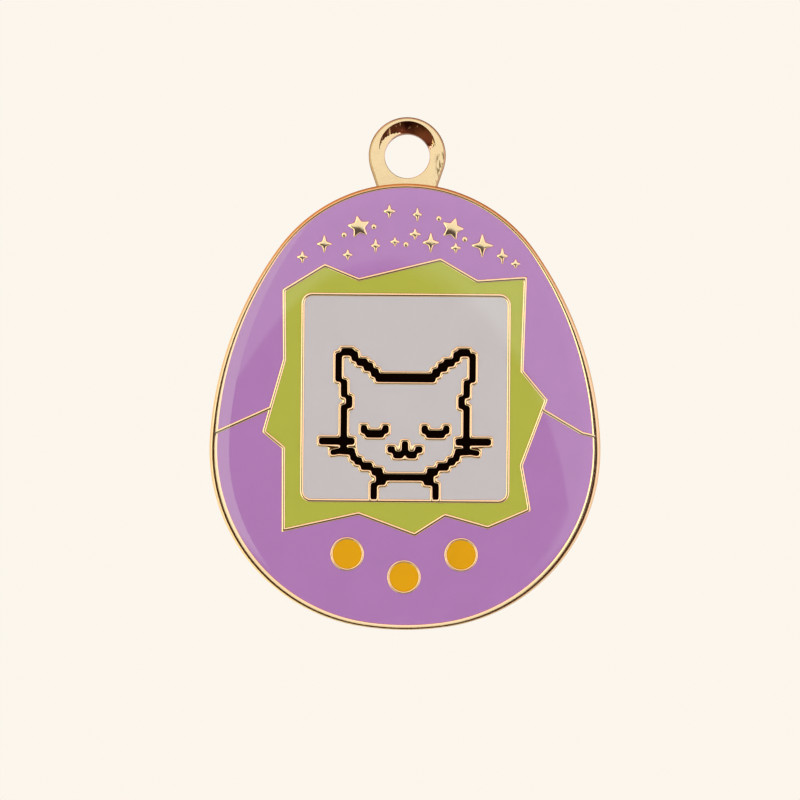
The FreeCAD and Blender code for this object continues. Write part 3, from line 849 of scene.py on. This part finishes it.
def eye_reach(angle):
    """How far the eye's outline is from the hole's centre: a circle whose sides run straight down into
    the body, and a flat bottom inside it."""
    foot_angle = math.atan2(-EYE_FOOT[1], EYE_FOOT[0])
    tangent_angle = foot_angle - math.acos(EYE_RADIUS / math.hypot(*EYE_FOOT))
    below = math.asin(max(-math.sin(angle), 0.0))
    reach = EYE_RADIUS / math.cos(max(below - tangent_angle, 0.0))
    if below > 0:
        reach = min(reach, -EYE_BOTTOM / math.sin(below))
    return reach


def mouth_width(angle):
    """Width of the worn bevel at the front of the eye's hole, which is widest at the top."""
    return EYE_MOUTH + EYE_MOUTH_WEAR * max(math.sin(angle), 0.0) ** 0.6


def eye_section(angle):
    """The eye's section at one angle, as (distance from the hole's centre, depth). The worn bevel fades
    into the flat at both its ends."""
    edge = EYE_EDGE_ROUND
    outer = eye_reach(angle)
    width = mouth_width(angle)
    depth = EYE_MOUTH_SLOPE * np.interp(math.degrees(angle), EYE_MOUTH_TURNS, (0, 1, 1, 0)) * width
    section = [(EYE_HOLE_RADIUS, EYE_FRONT + depth + EYE_MOUTH_ROUND)]
    for share in np.linspace(0, 1, MOUTH_BANDS + 1):
        radius = EYE_HOLE_RADIUS + EYE_MOUTH_ROUND + (width - EYE_MOUTH_ROUND) * share
        section.append((radius, EYE_FRONT + depth * (1 - share) ** 1.3))
    section.append((EYE_HOLE_RADIUS + width + 0.02, EYE_FRONT))
    section.append((outer - edge - 0.02, EYE_FRONT))
    section += [(outer - inset, EYE_FRONT + drop) for inset, drop in quarter(6, edge)[::-1]]
    section += [(outer - inset, BACK - drop) for inset, drop in quarter(6, edge)]
    section += [(EYE_HOLE_RADIUS + inset, BACK - drop) for inset, drop in quarter(6, edge)[::-1]]
    return section + section[:1]


def eye_material(turn, place):
    """The number of the material at one turn, in degrees, and place along the eye's section: the worn
    bevel at the top of the hole is painted dark brown as shade, from a ragged end until it narrows away, and
    the outer side is painted darker as shade."""
    ragged_start = MOUTH_SHADE_START + 5 * math.sin(2.3 * (place % MOUTH_BANDS))
    narrowing = (turn - MOUTH_SHADE_NARROWS) / (MOUTH_SHADE_END - MOUTH_SHADE_NARROWS)
    if turn > ragged_start and narrowing <= place / MOUTH_BANDS <= 1:
        return SHADED_MOUTH
    # The outer rounding and side get gold painted darker as shade.
    return SHADED_SIDE if MOUTH_BANDS + 4 <= place <= MOUTH_BANDS + 10 else SCUFFED


def eye_ring():
    """The hanging eye, turned about the hole's axis."""
    count = 144
    angles = [2 * math.pi * step / count for step in range(count)]
    rings = []
    for angle in angles:
        section = eye_section(angle)
        rings.append([(radius * math.cos(angle), y, radius * math.sin(angle)) for radius, y in section])
    builder = Builder()
    for step, angle in enumerate(angles):
        before, ring = rings[step - 1], rings[step]
        for place in range(len(ring) - 1):
            corners = [before[place], before[place + 1], ring[place + 1], ring[place]]
            builder.face(corners, eye_material(math.degrees(angle), place))
    return finished(builder, "hanging_eye", 24)


def enamel(name, points, levels, triangles):
    """The enamel that fills one cell, over these triangles."""
    builder = Builder()
    net_faces(builder, points, levels, triangles)
    net_faces(builder, points, np.full(len(points), CELL_FLOOR), triangles)
    net_walls(builder, points, levels, triangles, CELL_FLOOR)
    return finished(builder, name, 40)


def clear_coat(points, levels, triangles):
    """The domed coat: it fills everything over the metal and enamel inside its edge."""
    builder = Builder()
    covered = triangles[rim_distance(points[triangles].mean(1)) > -COAT_SHARE]
    net_faces(builder, points, levels - COAT_GAP, covered)
    edge = rim_ring(COAT_SHARE * inner_share(RIM_MIDDLE))
    edge_levels = surface_level(np.array(edge)) - COAT_GAP
    rings = [[(x, level, z) for (x, z), level in zip(edge, edge_levels)]]
    foot = edge_levels.min()
    overlap = COAT_SHARE * RIM_INNER_SHARE * (RIM_INSET + RIM_PINCH)
    for step in range(COAT_RINGS):
        inset = COAT_REACH * (step / (COAT_RINGS - 1)) ** 2.2
        height = (foot - COAT_TOP) * (1 - math.exp(-(inset + overlap) / COAT_SPREAD))
        rings.append(at_level(egg(CELL_ARCS, RIM_INSET + inset), foot - height))
    builder.bands(rings)
    builder.face(rings[-1])
    return finished(builder, "dome_coat", 30)


# ---- materials

GOLD = [(0.97, 0.79, 0.465), (0.99, 0.765, 0.41)]
SHADED_SIDE_GOLD = [(0.50, 0.36, 0.18), (0.40, 0.28, 0.13)]  # gold darkened as painted shade, on the eye's outer rounding and side
PAINTED_ORANGE_REFLECTION = (0.78, 0.45, 0.17)  # painted orange reflection of light from above, at the top of the rim's outer rounding
PAINTED_ORANGE_LEVELS = (-17.0, -7.0)  # where that colour starts and is full
SCUFF_COLOUR = (0.20, 0.12, 0.04)
SCUFF_PLACE = (("X", 2.65, 3.0), ("Y", -0.5, -0.6), ("Z", 0.5, 0.1))  # where it starts and is full

# Each enamel's colour, and how far it is clouded.
ENAMELS = {
    "purple_enamel": ((0.343, 0.178, 0.399), 0.02),
    "green_enamel": ((0.353, 0.398, 0.058), 0.02),
    "pale_enamel": ((0.452, 0.463, 0.454), 0.015),
    "black_enamel": ((0.0005, 0.0002, 0.0001), 0.3),
    "yellow_enamel": ((0.590, 0.318, 0.008), 0.03),
}


def new_material(name):
    material = bpy.data.materials.new(name)
    material.use_nodes = True
    tree = material.node_tree
    tree.nodes.clear()
    return material, tree


def add(tree, kind, inputs=(), **settings):
    """A shader node with its settings and inputs. An input's value may be another node's output."""
    node = tree.nodes.new(f"ShaderNode{kind}")
    for setting, value in settings.items():
        setattr(node, setting, value)
    for socket, value in dict(inputs).items():
        if isinstance(value, bpy.types.NodeSocket):
            tree.links.new(value, node.inputs[socket])
        else:
            node.inputs[socket].default_value = value
    return node


def calculate(tree, operation, first, second=0.0):
    return add(tree, "Math", {0: first, 1: second}, operation=operation).outputs[0]


def noise(tree, scale, detail=4.0, roughness=0.55, squeeze=1.0):
    """Noise in the object's own space, scale features to a metre, but squeeze times that upwards."""
    place = add(tree, "TexCoord").outputs["Object"]
    if squeeze != 1.0:
        place = add(tree, "Mapping", {"Vector": place, "Scale": (1.0, 1.0, squeeze)}).outputs["Vector"]
    inputs = {"Vector": place, "Scale": scale, "Detail": detail, "Roughness": roughness}
    return add(tree, "TexNoise", inputs).outputs["Fac"]


def ramp(tree, factor, low, high, from_low=0.0, from_high=1.0):
    """The factor's range from_low to from_high mapped to low to high."""
    inputs = {
        "Value": factor, "From Min": from_low, "From Max": from_high, "To Min": low, "To Max": high,
    }
    return add(tree, "MapRange", inputs).outputs["Result"]


def mix_colour(tree, factor, first, second):
    """A mix of two colours, each either numbers or another node's output."""
    node = add(tree, "Mix", {"Factor": factor}, data_type="RGBA")
    for socket, colour in (("A", first), ("B", second)):
        if isinstance(colour, tuple):
            node.inputs[socket].default_value = (*colour, 1)
        else:
            tree.links.new(colour, node.inputs[socket])
    return node.outputs["Result"]


def output(tree, shader):
    target = add(tree, "OutputMaterial")
    tree.links.new(shader.outputs[0], target.inputs["Surface"])


def gold(name, light, deep, roughness, grain_scale, grain_strength, painted_orange_top=False, scuffed=False):
    """Gold plating: a colour that wavers from light to deep, uneven polish and a soft grain. The rim's edge
    plating can get a painted orange reflection of light from above, stronger towards the eye. Scuffed
    plating has dark scratches to the right of the hole."""
    material, tree = new_material(name)
    colour = mix_colour(tree, noise(tree, 600.0), light, deep)
    parts = add(tree, "SeparateXYZ", {"Vector": add(tree, "TexCoord").outputs["Object"]}).outputs
    # Painted orange reflection of light from above, stronger towards the top of the rim's outer rounding.
    if painted_orange_top:
        orange_share = ramp(tree, parts["Z"], 0.0, 1.0, *(level * MM for level in PAINTED_ORANGE_LEVELS))
        colour = mix_colour(tree, orange_share, colour, PAINTED_ORANGE_REFLECTION)
    if scuffed:
        marks = ramp(tree, noise(tree, 4200.0, 3.0, 0.6, squeeze=0.3), 0.0, 0.9, 0.5, 0.56)
        for axis, outside, within in SCUFF_PLACE:
            place = ramp(tree, parts[axis], 0.0, 1.0, outside * MM, within * MM)
            marks = calculate(tree, "MULTIPLY", marks, place)
        colour = mix_colour(tree, marks, colour, SCUFF_COLOUR)
    uneven = ramp(tree, noise(tree, 1500.0), 0.85 * roughness, 1.2 * roughness, 0.3, 0.7)
    grain = noise(tree, grain_scale, 3.0)
    bump = add(tree, "Bump", {"Height": grain, "Strength": grain_strength, "Distance": 0.00002})
    inputs = {
        "Base Color": colour, "Metallic": 1.0, "Roughness": uneven, "Normal": bump.outputs["Normal"],
        "Specular Tint": (0.42, 0.22, 0.09, 1.0),
    }
    output(tree, add(tree, "BsdfPrincipled", inputs))
    return material


def shaded_mouth_gold(name):
    """Gold painted dark brown as shade, with lighter streaks through it."""
    material, tree = new_material(name)
    worn = noise(tree, 2600.0, 3.0, 0.6, squeeze=0.45)
    # Painted shade: dark brown, broken by lighter streaks of gold.
    streaked = ramp(tree, worn, 0.0, 1.0, 0.6, 0.68)
    colour = mix_colour(tree, streaked, (0.10, 0.028, 0.010), (0.7, 0.45, 0.2))
    rough = ramp(tree, noise(tree, 900.0), 0.2, 0.4, 0.3, 0.7)
    bump = add(tree, "Bump", {"Height": worn, "Strength": 0.5, "Distance": 0.00003})
    inputs = {"Base Color": colour, "Metallic": 1.0, "Roughness": rough, "Normal": bump.outputs["Normal"]}
    output(tree, add(tree, "BsdfPrincipled", inputs))
    return material


def enamel_paint(name, colour, mottle):
    """Opaque enamel under the coat: the colour, clouded by mottle, with a fine grain."""
    material, tree = new_material(name)
    dark = tuple(channel * (1 - mottle) for channel in colour)
    light = tuple(channel * (1 + mottle) for channel in colour)
    cloud = ramp(tree, noise(tree, 350.0, 6.0, 0.65), 0.0, 1.0, 0.3, 0.7)
    shade = mix_colour(tree, cloud, dark, light)
    grain = noise(tree, 6000.0, 2.0)
    bump = add(tree, "Bump", {"Height": grain, "Strength": 0.15, "Distance": 0.00001})
    inputs = {
        "Base Color": shade, "Roughness": 0.55, "Specular IOR Level": 0.0, "Normal": bump.outputs["Normal"],
    }
    output(tree, add(tree, "BsdfPrincipled", inputs))
    return material


def clear_resin():
    """Clear resin as a see-through skin that reflects by Fresnel, a little green, on its outer side."""
    material, tree = new_material("clear_coat")
    ripple = noise(tree, 60.0, 1.0)
    bump = add(tree, "Bump", {"Height": ripple, "Strength": 0.3, "Distance": 0.0001})
    fresnel = add(tree, "Fresnel", {"IOR": 1.6, "Normal": bump.outputs["Normal"]}).outputs["Fac"]
    backfacing = add(tree, "NewGeometry").outputs["Backfacing"]
    outer = calculate(tree, "SUBTRACT", 1.0, backfacing)
    share = calculate(tree, "MULTIPLY", fresnel, outer)
    clear = add(tree, "BsdfTransparent")
    inputs = {"Color": (0.84, 1.0, 0.87, 1.0), "Roughness": 0.02, "Normal": bump.outputs["Normal"]}
    gloss = add(tree, "BsdfGlossy", inputs)
    mixed = add(tree, "MixShader", {0: share, 1: clear.outputs[0], 2: gloss.outputs[0]})
    output(tree, mixed)
    return material


# ---- the charm


def dress(piece, materials, node):
    """Give the piece its materials, and let it stand for the CAD node."""
    for material in materials:
        piece.data.materials.append(material)
    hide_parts(node)
    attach(piece, "root")


def build_charm():
    """All the visible pieces. The struck blank and the hanging eye both stand for the metal blank."""
    points, triangles, is_metal = face_net()
    cell = find_cells(triangles, is_metal)
    levels = surface_level(points)
    gold_plate = gold("gold_plate", *GOLD, 0.10, 9000.0, 0.1)
    gold_blasted = gold("gold_blasted", *GOLD, 0.42, 14000.0, 1.0)
    gold_edge = gold("gold_edge", *GOLD, 0.48, 9000.0, 0.15, painted_orange_top=True)
    paints = {slot: enamel_paint(slot, *looks) for slot, looks in ENAMELS.items()}
    blank = struck_blank(points, levels, triangles, is_metal)
    dress(blank, [gold_plate, gold_blasted, gold_edge], "metal_blank")
    eye = eye_ring()
    eye_gold = gold("gold_scuffed", *GOLD, 0.10, 9000.0, 0.1, scuffed=True)
    # The eye's outer rounding and side: gold painted darker as shade.
    side_shade_gold = gold("gold_shaded_side", *SHADED_SIDE_GOLD, 0.2, 9000.0, 0.15)
    # On the eye, the bevel at the top of the hole and the outer side carry painted shade.
    dress(eye, [eye_gold, shaded_mouth_gold("gold_shaded_mouth"), side_shade_gold], "metal_blank")
    for node, (place, slot) in CELLS.items():
        number = cell[holding(points, triangles, place)]
        piece = enamel(node.replace("enamel", "poured"), points, levels, triangles[cell == number])
        dress(piece, [paints[slot]], node)
    coat = clear_coat(points, levels, triangles)
    dress(coat, [clear_resin()], "epoxy_dome")


# ---- camera, light and floor


def add_camera():
    """A long lens, square on to the face, turned a little about its own axis."""
    aim_x, aim_z = -0.52, -23.75
    view_width = 77.6
    roll = math.radians(-0.45)
    data = bpy.data.cameras.new("camera")
    data.lens = 100.0
    data.sensor_width = 36.0
    camera = new_object("camera", data)
    distance = view_width * data.lens / data.sensor_width
    camera.location = (aim_x * MM, (FRONT - distance) * MM, aim_z * MM)
    camera.rotation_euler = (math.pi / 2, roll, 0)
    bpy.context.scene.camera = camera


def studio_light(tree):
    """Colour and strength of the studio in every direction, as the polished metal and the coat see it:
    lights round a dark brown room that lies in front of the face and below."""

    def largest(first, second, third=0.0):
        return calculate(tree, "MAXIMUM", calculate(tree, "MAXIMUM", first, second), third)

    def both(first, second):
        return calculate(tree, "MULTIPLY", first, second)

    def rise(value, start, end):
        """0 up to start and 1 from end on. Start may be the higher, and then it falls."""
        return ramp(tree, value, 0.0, 1.0, start, end)

    direction = add(tree, "TexCoord").outputs["Generated"]
    parts = add(tree, "SeparateXYZ", {"Vector": direction}).outputs
    right, back, up = parts["X"], parts["Y"], parts["Z"]

    # Boxes above, on the left and on the right. The upper one's lower edge drops towards the right.
    upper = rise(calculate(tree, "ADD", up, both(largest(right, 0.0), 0.67)), 0.063, 0.077)
    left = rise(right, -0.34, -0.36)
    near = both(largest(upper, left, rise(right, 0.26, 0.36)), rise(up, -0.4, -0.28))

    # Wings at both sides that reach further down, and a wide light behind the charm.
    wings = both(rise(calculate(tree, "ABSOLUTE", right), 0.5, 0.6), rise(up, -0.85, -0.7))
    behind = ramp(tree, back, 0.0, 0.8, -0.84, -0.4)
    level_with_face = ramp(tree, calculate(tree, "ABSOLUTE", back), 0.7, 1.0, 0.05, 0.4)
    lit = both(largest(near, wings, behind), level_with_face)

    # The light is yellower from the left, pinker far out at the front and orange high up.
    light = mix_colour(tree, left, (0.98, 0.95, 0.95), (0.98, 1.02, 0.78))
    far_left = calculate(tree, "SUBTRACT", -0.3, right)
    steep = both(rise(largest(up, right, far_left), 0.3, 0.55), rise(back, 0.3, -0.1))
    light = mix_colour(tree, steep, light, (1.0, 0.78, 0.95))
    ceiling = both(rise(up, 0.25, 0.5), rise(back, -0.75, -0.2))
    light = mix_colour(tree, ceiling, light, (0.60, 0.30, 0.12))
    colour = mix_colour(tree, lit, (0.06, 0.018, 0.004), light)

    # The left box is twice as bright as the rest, and the pinker light half as bright again.
    left_box = both(left, rise(right, -0.8, -0.65))
    pinker = both(both(steep, 0.5), rise(ceiling, 1.0, 0.0))
    return colour, calculate(tree, "ADD", 1.0, largest(pinker, left_box))


def add_world():
    """The studio for reflections and light, and a plain pale backdrop for the camera."""
    world = bpy.data.worlds.new("studio")
    world.use_nodes = True
    bpy.context.scene.world = world
    tree = world.node_tree
    tree.nodes.clear()
    colour, strength = studio_light(tree)
    seen = add(tree, "Background", {"Color": (0.973, 0.921, 0.846, 1.0), "Strength": 1.0})
    studio = add(tree, "Background", {"Color": colour, "Strength": strength})
    camera_ray = add(tree, "LightPath").outputs["Is Camera Ray"]
    mixed = add(tree, "MixShader", {0: camera_ray, 1: studio.outputs[0], 2: seen.outputs[0]})
    target = add(tree, "OutputWorld")
    tree.links.new(mixed.outputs[0], target.inputs["Surface"])


def add_lamp():
    """A square soft box in front of the charm and a little above it. Reflections and the camera don't
    see it."""
    data = bpy.data.lights.new("front_light", "AREA")
    data.size = 0.5
    data.energy = 1.8
    lamp = new_object("front_light", data)
    place = Vector((0.0, -0.6, 0.15))
    lamp.location = Vector([c * MM for c in CENTRE]) + place
    lamp.rotation_euler = place.to_track_quat("Z", "Y").to_euler()
    lamp.visible_glossy = False
    lamp.visible_camera = False


def add_floor():
    """A pale round floor well below the hanging charm."""
    builder = Builder()
    level = -124.0
    radius = 300.0
    outline = [(radius * math.cos(a), radius * math.sin(a)) for a in np.linspace(0, 2 * math.pi, 96, False)]
    builder.face([(x, y, level) for x, y in outline])
    floor = finished(builder, "floor", 30)
    material, tree = new_material("pale_floor")
    shade = mix_colour(tree, noise(tree, 40.0), (0.95, 0.90, 0.82), (0.98, 0.93, 0.86))
    output(tree, add(tree, "Emission", {"Color": shade, "Strength": 1.0}))
    floor.data.materials.append(material)
    floor.visible_diffuse = False
    floor.visible_glossy = False


build_charm()
add_camera()
add_world()
add_lamp()
add_floor()
bpy.context.scene.view_settings.view_transform = "Standard"
